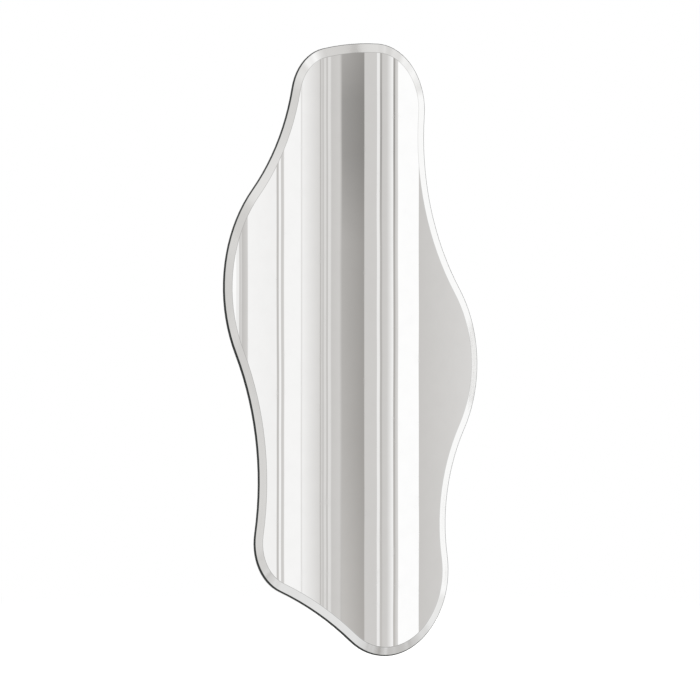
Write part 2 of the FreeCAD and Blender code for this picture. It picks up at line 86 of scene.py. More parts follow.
# The film's threads, from one to the next.
SCRIM_PITCH = 1.25 * MM

# The hanging rings. The ends of the wire reach out by one share of its radius and narrow to
# another.
RING_CORNER = 3 * MM
RING_GAP = 0.4 * MM
RING_BEND_STEPS = 24
WIRE_SIDES = 20
WIRE_END_REACH = 0.06
WIRE_END_RADIUS = 0.82

# The straps' screws: the head, domed over a short side, then the shank and its thread.
SCREW_SIDES = 32
SCREW_HEAD = 7 * MM
SCREW_HEIGHT = 2.2 * MM
HEAD_SIDE = 0.75 * MM
HEAD_EDGE = 0.12 * MM
HEAD_EDGE_INSET = 0.15 * MM
DOME_FROM, DOME_TO = 8, 82
DOME_STEPS = 7
DOME_REACH = 0.92
DOME_POWER = 0.62
SCREW_SHANK = 3.5 * MM
THREAD_CORE = 2.3 * MM
THREAD_PITCH = 1.4 * MM
RINGS_PER_TURN = 8
SCREW_TIP = 2.5 * MM
TIP_RADIUS = 0.05 * MM

# The cross recess, and the turn in degrees of the first screw and from one screw to the next.
CROSS_REACH = 2.0 * MM
CROSS_HALF_WIDTH = 0.5 * MM
CROSS_DEPTH = 1.25 * MM
CROSS_CLEARANCE = 0.3 * MM
CROSS_TOP_SIZE, CROSS_BOTTOM_SIZE = 1.12, 0.45
FIRST_SCREW_TURN, NEXT_SCREW_TURN = 17, 41

# The rubber pads' moulded edges. Facets that bend by less than PAD_FLAT_ANGLE are joined, and
# edges that bend by more than PAD_EDGE_ANGLE are rounded.
PAD_ROUND = 0.5 * MM
PAD_ROUND_STEPS = 3
PAD_MERGE = 0.01 * MM
PAD_FLAT_ANGLE = 2
PAD_EDGE_ANGLE = 20

# The camera stands this many degrees to the mirror's left and this far from it, level with it.
CAMERA_TURN = 41.5
CAMERA_DISTANCE = 4.0
CAMERA_LENS = 127.2
CAMERA_SHIFT = (-0.0100, 0.0006)

# Soft lamps that aim at the mirror: the name, the place, the diameter and the power in watts.
LAMPS = [
    ("key", (-1.6, -2.6, 1.5), 1.6, 22),
    ("fill", (2.4, -1.6, 0.4), 1.8, 10),
    ("back_key", (1.4, 2.6, 1.4), 1.6, 26),
    ("back_fill", (-2.2, 1.8, 0.2), 1.8, 12),
]

# The floor: its radius, how far it lies under the mirror, the distances over which it fades to
# white, and how much it is lifted towards white for the camera.
FLOOR_RADIUS = 2.4
FLOOR_SIDES = 96
FLOOR_DROP = 90 * MM
FLOOR_FADE = (0.9, 2.0)
FLOOR_LIFT = 0.3

WHITE = (1, 1, 1, 1)


# ---------------------------------------------------------------------------------------------
# Node helpers
# ---------------------------------------------------------------------------------------------


def grey(display):
    """A linear grey for a display value from 0 to 1."""
    return ((display + 0.055) / 1.055) ** 2.4 if display > 0.04 else display / 12.92


class Tree:
    """A node tree that is built from calls, most of which give back an output socket."""

    def __init__(self, tree):
        self.tree = tree
        self.tree.nodes.clear()

    def node(self, kind, settings=None, inputs=None):
        node = self.tree.nodes.new(kind)
        for name, value in (settings or {}).items():
            setattr(node, name, value)
        for name, value in (inputs or {}).items():
            self.feed(node.inputs[name], value)
        return node

    def feed(self, socket, value):
        if isinstance(value, bpy.types.NodeSocket):
            self.tree.links.new(value, socket)
        else:
            socket.default_value = value

    def math(self, operation, *values, clamp=False):
        node = self.node("ShaderNodeMath", {"operation": operation, "use_clamp": clamp})
        for i, value in enumerate(values):
            self.feed(node.inputs[i], value)
        return node.outputs[0]

    def step(self, value, low, high):
        """A smooth rise from 0 at low to 1 at high."""
        node = self.node(
            "ShaderNodeMapRange",
            {"interpolation_type": "SMOOTHSTEP"},
            {"Value": value, "From Min": low, "From Max": high},
        )
        return node.outputs["Result"]

    def fall(self, value, low, high):
        """A smooth fall from 1 at low to 0 at high."""
        return self.math("SUBTRACT", 1.0, self.step(value, low, high))

    def span(self, value, low, high):
        """A straight rise or fall from low to high as value goes from 0 to 1."""
        node = self.node(
            "ShaderNodeMapRange", None, {"Value": value, "To Min": low, "To Max": high}
        )
        return node.outputs["Result"]

    def mix(self, factor, first, second, blend="MIX"):
        """A mix of two colours."""
        node = self.node("ShaderNodeMix", {"data_type": "RGBA", "blend_type": blend})
        self.feed(node.inputs["Factor"], factor)
        self.feed(node.inputs[6], first)
        self.feed(node.inputs[7], second)
        return node.outputs[2]

    def mix_shaders(self, factor, first, second):
        node = self.node("ShaderNodeMixShader")
        for socket, value in zip(node.inputs, (factor, first, second)):
            self.feed(socket, value)
        return node.outputs[0]

    def add_shaders(self, first, second):
        node = self.node("ShaderNodeAddShader")
        for socket, value in zip(node.inputs, (first, second)):
            self.feed(socket, value)
        return node.outputs[0]

    def light(self, kind, colour, strength):
        """A shader that gives light: a background or an emission."""
        return self.node(kind, None, {"Color": colour, "Strength": strength}).outputs[0]

    def place(self, stretch=(1, 1, 1)):
        """Object coordinates in metres, stretched."""
        coordinates = self.node("ShaderNodeTexCoord").outputs["Object"]
        mapping = self.node("ShaderNodeMapping", None, {"Vector": coordinates, "Scale": stretch})
        return mapping.outputs["Vector"]

    def normal(self):
        """The object's own normal."""
        return self.node("ShaderNodeTexCoord").outputs["Normal"]

    def split(self, vector):
        """The x, y and z of a vector."""
        outputs = self.node("ShaderNodeSeparateXYZ", None, {"Vector": vector}).outputs
        return [outputs[axis] for axis in "XYZ"]

    def noise(self, scale, detail=3.0, roughness=0.5, stretch=(1, 1, 1)):
        node = self.node(
            "ShaderNodeTexNoise",
            None,
            {
                "Vector": self.place(stretch),
                "Scale": scale,
                "Detail": detail,
                "Roughness": roughness,
            },
        )
        return node.outputs["Fac"]

    def ramp(self, value, stops):
        """A ramp through (position, colour) stops."""
        node = self.node("ShaderNodeValToRGB", None, {"Fac": value})
        elements = node.color_ramp.elements
        while len(elements) > 1:
            elements.remove(elements[-1])
        elements[0].position, elements[0].color = stops[0]
        for position, colour in stops[1:]:
            elements.new(position).color = colour
        return node.outputs["Color"]

    def bump(self, height, distance):
        node = self.node(
            "ShaderNodeBump", None, {"Height": height, "Distance": distance, "Strength": 1.0}
        )
        return node.outputs["Normal"]


def finish_surface(tree, colour, roughness, normal, settings=None):
    inputs = {"Base Color": colour, "Roughness": roughness, "Normal": normal}
    inputs.update(settings or {})
    shader = tree.node("ShaderNodeBsdfPrincipled", None, inputs)
    tree.node("ShaderNodeOutputMaterial", None, {"Surface": shader.outputs["BSDF"]})


def new_material(name):
    material = bpy.data.materials.new(name)
    material.use_nodes = True
    return material, Tree(material.node_tree)


# ---------------------------------------------------------------------------------------------
# Materials
# ---------------------------------------------------------------------------------------------


def mirror_face():
    """Silvered float glass: almost perfectly flat, with the faintest waviness and dust."""
    material, tree = new_material("mirror_face")
    clean, dusty = (0.928, 0.927, 0.925, 1), (0.908, 0.907, 0.905, 1)
    haze_roughness, speck_roughness = 0.012, 0.03
    waviness = tree.noise(5.0, detail=1.0)
    dust = tree.noise(38.0, detail=6.0, roughness=0.65)
    specks = tree.step(tree.noise(900.0, detail=2.0), 0.72, 0.80)
    haze = tree.math("MULTIPLY", tree.step(dust, 0.45, 0.75), haze_roughness)
    roughness = tree.math("ADD", haze, tree.math("MULTIPLY", specks, speck_roughness))
    colour = tree.mix(tree.step(dust, 0.3, 0.8), clean, dusty)
    normal = tree.bump(waviness, 0.012 * MM)
    finish_surface(tree, colour, roughness, normal, {"Metallic": 1.0})
    return material


def bevel_distance(tree):
    """How far across the bevel a point is, from 0 at the face to 1 at the rim."""
    _, y, _ = tree.split(tree.place())
    return tree.math("DIVIDE", tree.math("SUBTRACT", y, GLASS_LOW.y), BEVEL_DEPTH)


def arris_and_shade_share(tree):
    """The width of the ground edge and of its painted dark shade, as a share of the bevel's, the
    wider the more it faces down left.
    """
    tilt = math.sin(math.atan2(BEVEL_DEPTH, BEVEL_WIDTH))
    facing = tree.node(
        "ShaderNodeVectorMath", {"operation": "DOT_PRODUCT"}, {0: tree.normal(), 1: ARRIS_SHADE_LEAN}
    ).outputs["Value"]
    lean = tree.math("MAXIMUM", tree.math("DIVIDE", facing, -tilt), 0.0)
    squared = tree.math("MULTIPLY", lean, lean)
    growth = tree.math("MULTIPLY", squared, ARRIS_SHADE_GROWTH / BEVEL_WIDTH)
    return tree.math("ADD", ARRIS_AND_SHADE_WIDTH / BEVEL_WIDTH, growth)


def mirror_bevel():
    """The ground and polished bevel, with the polishing wheel's faint lines along it, painted dark
    as shade at its edge by the rim and with a painted shade line along its crease at the face.
    """
    material, tree = new_material("mirror_bevel")
    dull, bright = (0.90, 0.90, 0.895, 1), (0.93, 0.93, 0.925, 1)
    # Painted shade: grey for the line along the crease, near black for the edge by the rim.
    crease_shade_tone, arris_shade_tone = (0.60, 0.60, 0.595, 1), (0.035, 0.040, 0.038, 1)
    arris_roughness = 0.35
    across = bevel_distance(tree)
    lines = tree.node(
        "ShaderNodeTexNoise",
        {"noise_dimensions": "1D"},
        {"W": across, "Scale": 14.0, "Detail": 3.0},
    ).outputs["Fac"]
    smear = tree.noise(70.0, detail=4.0)
    # The edge by the rim is ground glass, so rougher, and painted dark as shade, wider to the lower
    # left.
    from_rim = tree.math("DIVIDE", tree.math("SUBTRACT", 1.0, across), arris_and_shade_share(tree))
    arris_and_shade = tree.fall(from_rim, 0.8, 1.2)
    # A painted shade line along the crease where the bevel meets the face.
    crease = CREASE_SHADE_WIDTH / BEVEL_WIDTH
    crease_shade = tree.fall(across, 0.5 * crease, crease)
    polished = tree.mix(smear, dull, bright)
    colour = tree.mix(arris_and_shade, tree.mix(crease_shade, polished, crease_shade_tone), arris_shade_tone)
    ground = tree.math("MULTIPLY", arris_and_shade, arris_roughness)
    roughness = tree.math("ADD", tree.span(smear, 0.01, 0.05), ground)
    height = tree.math("ADD", lines, tree.math("MULTIPLY", smear, 2.0))
    normal = tree.bump(height, 0.004 * MM)
    finish_surface(tree, colour, roughness, normal, {"Metallic": 1.0})
    return material


def glass_rim():
    """The polished side of the plate, which looks dark because little light leaves it."""
    material, tree = new_material("glass_rim")
    deep, pale = (0.008, 0.011, 0.010, 1), (0.022, 0.028, 0.026, 1)
    streaks = tree.noise(140.0, detail=4.0, stretch=(1, 6, 1))
    roughness = tree.span(streaks, 0.18, 0.34)
    normal = tree.bump(streaks, 0.04 * MM)
    settings = {"IOR": 1.52, "Specular IOR Level": 0.35}
    finish_surface(tree, tree.mix(streaks, deep, pale), roughness, normal, settings)
    return material


def paint(name, light, dark, grain, roughness, bump):
    """A matt or satin coat with a mottled tone and an orange-peel surface."""
    material, tree = new_material(name)
    mottle = tree.noise(grain / 12, detail=4.0)
    peel = tree.noise(grain, detail=3.0, roughness=0.6)
    colour = tree.mix(mottle, (*dark, 1), (*light, 1))
    uneven = tree.math("MULTIPLY", tree.math("SUBTRACT", mottle, 0.5), 0.25)
    rough = tree.math("ADD", roughness, uneven, clamp=True)
    finish_surface(tree, colour, rough, tree.bump(peel, bump))
    return material


def woven_film():
    """The pale film: thin plastic over a fine scrim of crossed threads."""
    material, tree = new_material("scrim_film")
    dark, light = (0.50, 0.53, 0.55, 1), (0.60, 0.63, 0.65, 1)
    thread_tone, thread_cover = (0.74, 0.76, 0.78, 1), 0.55
    x, _, z = tree.split(tree.place())
    threads = []
    for along in (x, z):
        turn = tree.math("MULTIPLY", along, math.pi / SCRIM_PITCH)
        wave = tree.math("ABSOLUTE", tree.math("SINE", turn))
        threads.append(tree.step(wave, 0.86, 1.0))
    weave = tree.math("MAXIMUM", *threads)
    mottle = tree.noise(30.0, detail=4.0)
    base = tree.mix(mottle, dark, light)
    colour = tree.mix(tree.math("MULTIPLY", weave, thread_cover), base, thread_tone)
    roughness = tree.span(mottle, 0.28, 0.42)
    height = tree.math("ADD", weave, tree.math("MULTIPLY", mottle, 0.4))
    finish_surface(tree, colour, roughness, tree.bump(height, 0.06 * MM), {"IOR": 1.5})
    return material


def fibreboard():
    """Fibreboard under rolled-on matt black paint, rubbed along its chamfered edge."""
    material, tree = new_material("painted_fibreboard")
    paint_tones = [
        (0.32, (0.020, 0.020, 0.021, 1)),
        (0.50, (0.030, 0.030, 0.031, 1)),
        (0.68, (0.050, 0.049, 0.048, 1)),
    ]
    fibre_tone, bare_tone, bare_cover = (0.065, 0.063, 0.060, 1), (0.14, 0.12, 0.095, 1), 0.6
    fibre = tree.noise(420.0, detail=6.0, roughness=0.7, stretch=(1, 1, 0.45))
    roller = tree.noise(34.0, detail=4.0, stretch=(1, 1, 0.12))
    cloud = tree.noise(9.0, detail=5.0, roughness=0.6)

    _, backwards, _ = tree.split(tree.normal())
    chamfer = tree.math(
        "MULTIPLY", tree.step(backwards, 0.35, 0.60), tree.fall(backwards, 0.80, 0.97)
    )
    patches = tree.step(tree.noise(150.0, detail=6.0), 0.50, 0.66)
    rubbed = tree.math("MULTIPLY", chamfer, patches)

    uneven = tree.math("ADD", tree.math("MULTIPLY", cloud, 0.5), tree.math("MULTIPLY", roller, 0.5))
    speckled = tree.mix(tree.step(fibre, 0.60, 0.75), tree.ramp(uneven, paint_tones), fibre_tone)
    colour = tree.mix(tree.math("MULTIPLY", rubbed, bare_cover), speckled, bare_tone)
    roughness = tree.span(tree.math("MULTIPLY", fibre, roller), 0.60, 0.95)
    height = tree.math("ADD", tree.math("MULTIPLY", fibre, 0.6), roller)
    normal = tree.bump(height, 0.18 * MM)
    finish_surface(tree, colour, roughness, normal, {"Specular IOR Level": 0.3})
    return material


def metal(name, light, dark, roughness, scratches, stretch, bump, spangle=0.0):
    """Plated metal with drawn or rolled scratches, and a soft spangle for zinc."""
    material, tree = new_material(name)
    lines = tree.noise(scratches, detail=5.0, roughness=0.7, stretch=stretch)
    cloud = tree.noise(scratches / 6, detail=3.0)
    tone = tree.math(
        "ADD", tree.math("MULTIPLY", lines, 1 - spangle), tree.math("MULTIPLY", cloud, spangle)
    )
    colour = tree.mix(tone, (*dark, 1), (*light, 1))
    rough = tree.span(tone, 0.7 * roughness, 1.3 * roughness)
    finish_surface(tree, colour, rough, tree.bump(lines, bump), {"Metallic": 1.0})
    return material


def rubber():
    """Moulded black rubber with a fine sandblasted surface and a bloom of paler dust."""
    material, tree = new_material("moulded_rubber")
    clean, dusty = (0.022, 0.022, 0.023, 1), (0.055, 0.054, 0.053, 1)
    grain = tree.noise(2600.0, detail=3.0, roughness=0.7)
    bloom = tree.noise(160.0, detail=5.0)
    colour = tree.mix(tree.step(bloom, 0.35, 0.8), clean, dusty)
    roughness = tree.span(bloom, 0.62, 0.85)
    settings = {"Sheen Weight": 0.15, "Sheen Roughness": 0.5}
    finish_surface(tree, colour, roughness, tree.bump(grain, 0.08 * MM), settings)
    return material


def foam():
    """White closed-cell foam, with its cells as small dents, painted darker in their hollows as
    shade.
    """
    material, tree = new_material("closed_cell_foam")
    dent_shade, wall = (0.62, 0.62, 0.59, 1), (0.86, 0.86, 0.83, 1)
    cells = tree.node(
        "ShaderNodeTexVoronoi", None, {"Vector": tree.place(), "Scale": 1500.0}
    ).outputs["Distance"]
    # Painted shade: each cell is darker towards the middle of its dent.
    colour = tree.mix(tree.step(cells, 0.0, 0.5), dent_shade, wall)
    finish_surface(tree, colour, 0.8, tree.bump(cells, 0.2 * MM))
    return material


def adhesive():
    """Cured mirror adhesive: a pale, slightly waxy paste with squeezed ripples."""
    material, tree = new_material("cured_adhesive")
    dark, light = (0.60, 0.60, 0.55, 1), (0.74, 0.74, 0.70, 1)
    ripple = tree.noise(110.0, detail=3.0, stretch=(1, 1, 3))
    roughness = tree.span(ripple, 0.4, 0.6)
    finish_surface(tree, tree.mix(ripple, dark, light), roughness, tree.bump(ripple, 0.3 * MM))
    return material


def dress_glass():
    """The plate's own mesh, with a material for each of its faces: front, bevel, rim and back."""
    mesh = nodes["mirror_glass"].data
    back = paint(
        "back_of_glass",
        light=(0.36, 0.38, 0.39),
        dark=(0.30, 0.32, 0.33),
        grain=300.0,
        roughness=0.5,
        bump=0.05 * MM,
    )
    mesh.materials.clear()
    for material in (mirror_face(), mirror_bevel(), glass_rim(), back):
        mesh.materials.append(material)
    for polygon in mesh.polygons:
        facing = -polygon.normal.y
        polygon.material_index = sum(facing <= limit for limit in FACING_LIMITS)


def dress(material, *names):
    for name in names:
        for slot in nodes[name].material_slots:
            slot.material = material


# ---------------------------------------------------------------------------------------------
# Pieces
# ---------------------------------------------------------------------------------------------


def new_piece(name, mesh, material, body, replaced):
    piece = bpy.data.objects.new(name, mesh)
    bpy.context.scene.collection.objects.link(piece)
    mesh.materials.clear()
    mesh.materials.append(material)
    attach(piece, body)
    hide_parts(replaced)


def smooth_mesh(name, shape, sharp_degrees):
    """A mesh of the bmesh, smooth except at edges that bend by more than an angle."""
    bmesh.ops.recalc_face_normals(shape, faces=shape.faces)
    for face in shape.faces:
        face.smooth = True
    for edge in shape.edges:
        soft = edge.is_manifold and edge.calc_face_angle(0) < math.radians(sharp_degrees)
        edge.smooth = soft
    mesh = bpy.data.meshes.new(name)
    shape.to_mesh(mesh)
    shape.free()
    return mesh


def skin(shape, rings):
    """Faces between consecutive rings of vertices, and over both ends."""
    for first, second in zip(rings, rings[1:]):
        count = len(first)
        for i in range(count):
            j = (i + 1) % count
            shape.faces.new((first[i], first[j], second[j], second[i]))
    shape.faces.new(rings[0])
    shape.faces.new(rings[-1])


def ring_path(radius, leg):
    """The ring's centre line in its own plane (x, z), from one end of the wire to the other."""
    half = [(RING_GAP / 2, 0)]

    def arc(centre, size, start, end, count):
        for i in range(count + 1):
            turn = math.radians(start + (end - start) * i / count)
            half.append((centre[0] + size * math.cos(turn), centre[1] + size * math.sin(turn)))

    arc((radius - RING_CORNER, RING_CORNER), RING_CORNER, -90, 0, RING_BEND_STEPS // 2)
    arc((0, leg), radius, 0, 90, RING_BEND_STEPS)
    mirrored = [(-x, z) for x, z in reversed(half[:-1])]
    return half + mirrored


def wire_ring(side, material):
    """A smooth wire ring where the model's ring is, with eased ends, leaning as that one does."""
    node = f"hanger_ring_{side}"
    low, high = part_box(node)
    joint = next(j for j in frame["joints"] if j["child"] == f"{side}_ring")
    hinge = Vector(joint["pos_m"])
    wire = hinge.z - low.z
    radius = (high.x - low.x) / 2 - wire
    rise = high.z - wire - hinge.z
    lean = math.atan2(hinge.y - wire - low.y, rise)
    path = ring_path(radius, rise / math.cos(lean) - radius)
    turn = Matrix.Rotation(lean, 3, "X")

    shape = bmesh.new()

    def section(middle, outward, size):
        """A round section of the wire, at a place in the ring's own plane."""
        verts = []
        for k in range(WIRE_SIDES):
            angle = 2 * math.pi * k / WIRE_SIDES
            sideways = Vector((0, size * math.sin(angle), 0))
            point = middle + outward * (size * math.cos(angle)) + sideways
            verts.append(shape.verts.new(hinge + turn @ point))
        return verts

    rings = []
    last = len(path) - 1
    for i, (x, z) in enumerate(path):
        before, after = path[max(i - 1, 0)], path[min(i + 1, last)]
        along = Vector((after[0] - before[0], 0, after[1] - before[1])).normalized()
        rings.append(section(Vector((x, 0, z)), along.cross(Vector((0, 1, 0))), wire))
    reach = RING_GAP / 2 - WIRE_END_REACH * wire
    eased = [
        section(Vector((sign * reach, 0, 0)), Vector((0, 0, -sign)), WIRE_END_RADIUS * wire)
        for sign in (1, -1)
    ]
    skin(shape, [eased[0], *rings, eased[1]])
    mesh = smooth_mesh(f"wire_ring_{side}", shape, sharp_degrees=50)
    new_piece(f"wire_ring_{side}", mesh, material, f"{side}_ring", node)


def screw_mesh(length):
    """A pan-head wood screw about the Y axis, with its seat at y = 0 and its head towards +Y."""
    core, crest = THREAD_CORE / 2, SCREW_SHANK / 2
    shape = bmesh.new()
    rings = []

    def ring(y, radius_at):
        section = []
        for k in range(SCREW_SIDES):
            angle = 2 * math.pi * k / SCREW_SIDES
            radius = radius_at(angle)
            point = (radius * math.cos(angle), y, radius * math.sin(angle))
            section.append(shape.verts.new(point))
        rings.append(section)

    count = int(length / THREAD_PITCH * RINGS_PER_TURN)
    for i in range(count + 1):
        y = -length + length * i / count
        taper = min(1.0, (y + length) / SCREW_TIP)

        def thread(angle, y=y, taper=taper):
            phase = (y / THREAD_PITCH - angle / (2 * math.pi)) % 1
            ridge = max(0.0, 1 - 4 * abs(phase - 0.5))
            return max(TIP_RADIUS, taper * (core + (crest - core) * ridge))

        ring(y, thread)

    ring(0.0, lambda angle: SCREW_HEAD / 2 - HEAD_EDGE_INSET)
    ring(HEAD_EDGE, lambda angle: SCREW_HEAD / 2)
    dome = (SCREW_HEIGHT - HEAD_SIDE) / math.sin(math.radians(DOME_TO))
    for i in range(DOME_STEPS + 1):
        turn = math.radians(DOME_FROM + (DOME_TO - DOME_FROM) * i / DOME_STEPS)
        radius = SCREW_HEAD / 2 * math.cos(turn * DOME_REACH) ** DOME_POWER
        ring(HEAD_SIDE + dome * math.sin(turn), lambda angle, radius=radius: radius)
    skin(shape, rings)
    return smooth_mesh("screw", shape, sharp_degrees=38)


def cross_cutter():
    """The tapered cross of a screwdriver's tip, pointing down into the head."""
    shape = bmesh.new()
    arm, width = CROSS_REACH, CROSS_HALF_WIDTH
    outline = []
    for quarter in range(4):
        turn = Matrix.Rotation(math.radians(90 * quarter), 2)
        for x, z in ((arm, -width), (arm, width), (width, width)):
            outline.append(turn @ Vector((x, z)))
    levels = (
        (SCREW_HEIGHT + CROSS_CLEARANCE, CROSS_TOP_SIZE),
        (SCREW_HEIGHT - CROSS_DEPTH, CROSS_BOTTOM_SIZE),
    )
    rings = []
    for y, size in levels:
        rings.append([shape.verts.new((p.x * size, y, p.y * size)) for p in outline])
    skin(shape, rings)
    return smooth_mesh("cross_cutter", shape, sharp_degrees=1)


def cut(mesh, cutter_mesh):
    """The mesh with another cut out of it."""
    scene = bpy.context.scene.collection.objects
    target = bpy.data.objects.new("cut_target", mesh)
    cutter = bpy.data.objects.new("cutter", cutter_mesh)
    scene.link(target)
    scene.link(cutter)
    boolean = target.modifiers.new("cut", "BOOLEAN")
    boolean.operation = "DIFFERENCE"
    boolean.solver = "MANIFOLD"
    boolean.object = cutter
    graph = bpy.context.evaluated_depsgraph_get()
    result = bpy.data.meshes.new_from_object(target.evaluated_get(graph))
    bpy.data.objects.remove(target)
    bpy.data.objects.remove(cutter)
    if not result.vertices:
        raise RuntimeError("the cut left nothing")
    return result


def screws(material):
    """Four detailed screws where the model's plain ones are."""
    low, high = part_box("hanger_screws")
    seat = high.y - SCREW_HEIGHT
    mesh = cut(screw_mesh(seat - low.y), cross_cutter())
    heights = {"upper": high.z - SCREW_HEAD / 2, "lower": low.z + SCREW_HEAD / 2}
    places = {"left": low.x + SCREW_HEAD / 2, "right": high.x - SCREW_HEAD / 2}
    turn = FIRST_SCREW_TURN
    for side, x in places.items():
        for which, z in heights.items():
            copy = mesh.copy()
            spin = Matrix.Rotation(math.radians(turn), 4, "Y")
            copy.transform(Matrix.Translation((x, seat, z)) @ spin)
            turn += NEXT_SCREW_TURN
            name = f"screw_{side}_{which}"
            new_piece(name, copy, material, "mirror", "hanger_screws")


def rounded_pads(material):
    """The rubber pads with moulded, rounded edges, made from the model's own blocks."""
    for name in ("top_left", "top_right", "bottom_left", "bottom_right"):
        node = f"wall_pad_{name}"
        shape = bmesh.new()
        shape.from_mesh(nodes[node].data)
        bmesh.ops.remove_doubles(shape, verts=shape.verts, dist=PAD_MERGE)
        flat, sharp = math.radians(PAD_FLAT_ANGLE), math.radians(PAD_EDGE_ANGLE)
        bmesh.ops.dissolve_limit(
            shape, angle_limit=flat, verts=shape.verts, edges=shape.edges
        )
        bmesh.ops.bevel(
            shape,
            geom=[edge for edge in shape.edges if edge.calc_face_angle(0) > sharp],
            offset=PAD_ROUND,
            offset_type="OFFSET",
            segments=PAD_ROUND_STEPS,
            profile=0.5,
            affect="EDGES",
            clamp_overlap=True,
        )
        mesh = smooth_mesh(f"rubber_pad_{name}", shape, sharp_degrees=40)
        new_piece(f"rubber_pad_{name}", mesh, material, "mirror", node)


# ---------------------------------------------------------------------------------------------
# Studio
# ---------------------------------------------------------------------------------------------

# What a glossy surface sees: a plain pale studio with soft upright panels and strips. Each entry
# runs from one angle to the next, in degrees round the studio from straight in front of the
# mirror, and has a display grey at either end. The whole set repeats round the studio.
PANEL_TURN = 15.0
PANEL_SETS = [
    [
        (0.00, 0.82, 0.83),
        (1.60, 0.89, 0.89),
        (2.15, 0.74, 0.77),
        (2.75, 0.88, 0.88),
        (4.30, 0.95, 0.94),
        (5.25, 0.92, 0.94),
        (5.65, 0.99, 0.99),
    ],
    [
        (8.70, 0.94, 0.94),
        (8.77, 0.78, 0.85),
        (8.83, 0.76, 0.82),
        (8.97, 0.965, 0.95),
        (9.64, 0.75, 0.77),
        (9.69, 0.96, 0.96),
        (9.74, 0.80, 0.82),
        (9.81, 0.97, 0.97),
        (10.20, 0.88, 0.88),
        (10.23, 0.95, 0.845),
    ],
    [
        (10.64, 0.74, 0.76),
        (10.67, 0.83, 0.83),
        (10.70, 0.77, 0.77),
        (10.73, 0.85, 0.86),
        (10.79, 0.76, 0.78),
        (10.83, 0.88, 0.86),
        (10.90, 0.79, 0.81),
        (11.10, 0.79, 0.72),
        (11.16, 0.71, 0.63),
        (11.67, 0.81, 0.81),
    ],
    [
        (11.96, 0.93, 0.93),
        (12.03, 0.71, 0.72),
        (12.08, 0.80, 0.81),
        (12.19, 0.82, 0.965),
        (12.34, 0.68, 0.70),
        (12.385, 0.81, 0.84),
        (12.45, 1.0, 1.0),
    ],
    [
        (12.93, 0.79, 0.85),
        (14.20, 0.86, 0.86),
        (14.55, 0.82, 0.82),
    ],
]
# Half the width in degrees over which one panel turns into the next.
PANEL_EDGE = 0.009

# Away from the horizontal, between the two heights of SOFT_BEYOND, the panels fade into broad
# soft tones, each an angle and a display grey. Below LOW_HEIGHTS they keep a share of the panels.
SOFT_TONES = [
    (0.0, 0.86),
    (0.9, 0.85),
    (1.7, 0.90),
    (3.2, 0.88),
    (4.2, 0.97),
    (5.3, 0.94),
    (6.3, 0.99),
    (8.8, 0.83),
    (9.9, 0.84),
    (11.0, 0.82),
    (11.2, 0.765),
    (11.6, 0.745),
    (11.7, 0.85),
    (12.4, 0.88),
    (13.0, 0.88),
    (13.8, 0.86),
    (14.6, 0.90),
    (15.0, 0.86),
]
SOFT_BEYOND = (7.2, 8.6)
LOW_HEIGHTS = (-9.0, -7.0)
LOW_PANEL_SHARE = 0.45

# The ground is a little darker than the rest.
GROUND_HEIGHTS = (-13.0, -7.0)
GROUND_SHADE = 0.80

# Panels under the linear tones of DARK_TONE are shaded by a factor that changes with the height
# in degrees over the horizontal.
DARK_TONE = (0.44, 0.52)
DARK_SHADE = [
    (-8.0, 1.25),
    (-2.0, 1.02),
    (2.5, 0.97),
    (4.5, 0.73),
    (5.8, 0.73),
    (6.8, 0.88),
    (8.0, 0.95),
]
# A ramp holds colours up to 1, so the factors go in divided by this.
SHADE_SCALE = 1.3

# The panels' strength, and the even light on matt surfaces: its colour, and its strengths at two
# heights, given as the z of a direction of length 1.
MIRROR_GAIN = 1.065
EVEN_TINT = (1, 0.995, 0.985, 1)
EVEN_HEIGHTS = (-0.6, 1.0)
EVEN_STRENGTHS = (0.62, 0.92)


def warm_grey(tone):
    """A linear colour for a display grey, the darker the warmer."""
    value = grey(tone)
    green, blue = (1 - loss * (1 - tone) for loss in (0.09, 0.20))
    return (value, value * green, value * blue, 1)


def panel_tones(tree, angle, panels, end):
    """The colours of a set of panels, at an angle within their span."""
    start = panels[0][0]
    stops = []
    ends = [panel[0] for panel in panels[1:]] + [end]
    for (first, left, right), last in zip(panels, ends):
        for at, tone in ((first + PANEL_EDGE, left), (last - PANEL_EDGE, right)):
            stops.append(((at - start) / (end - start), warm_grey(tone)))
    share = tree.math("DIVIDE", tree.math("SUBTRACT", angle, start), end - start)
    return tree.ramp(share, stops)


def dark_shade(tree, height):
    """The factor that shades dark panels at a height in degrees."""
    low, high = DARK_SHADE[0][0], DARK_SHADE[-1][0]
    stops = []
    for at, factor in DARK_SHADE:
        value = factor / SHADE_SCALE
        stops.append(((at - low) / (high - low), (value, value, value, 1)))
    share = tree.math("DIVIDE", tree.math("SUBTRACT", height, low), high - low)
    return tree.math("MULTIPLY", tree.ramp(share, stops), SHADE_SCALE)


def level_panels(tree, angle, height):
    """The panels as they are near the horizontal, with the dark ones shaded."""
    starts = [panels[0][0] for panels in PANEL_SETS]
    tones = None
    for panels, end in zip(PANEL_SETS, starts[1:] + [PANEL_TURN]):
        following = panel_tones(tree, angle, panels, end)
        past = tree.math("GREATER_THAN", angle, panels[0][0])
        tones = following if tones is None else tree.mix(past, tones, following)
    pale = tree.step(tones, *DARK_TONE)
    shading = tree.mix(pale, dark_shade(tree, height), WHITE)
    return tree.mix(1.0, tones, shading, blend="MULTIPLY")


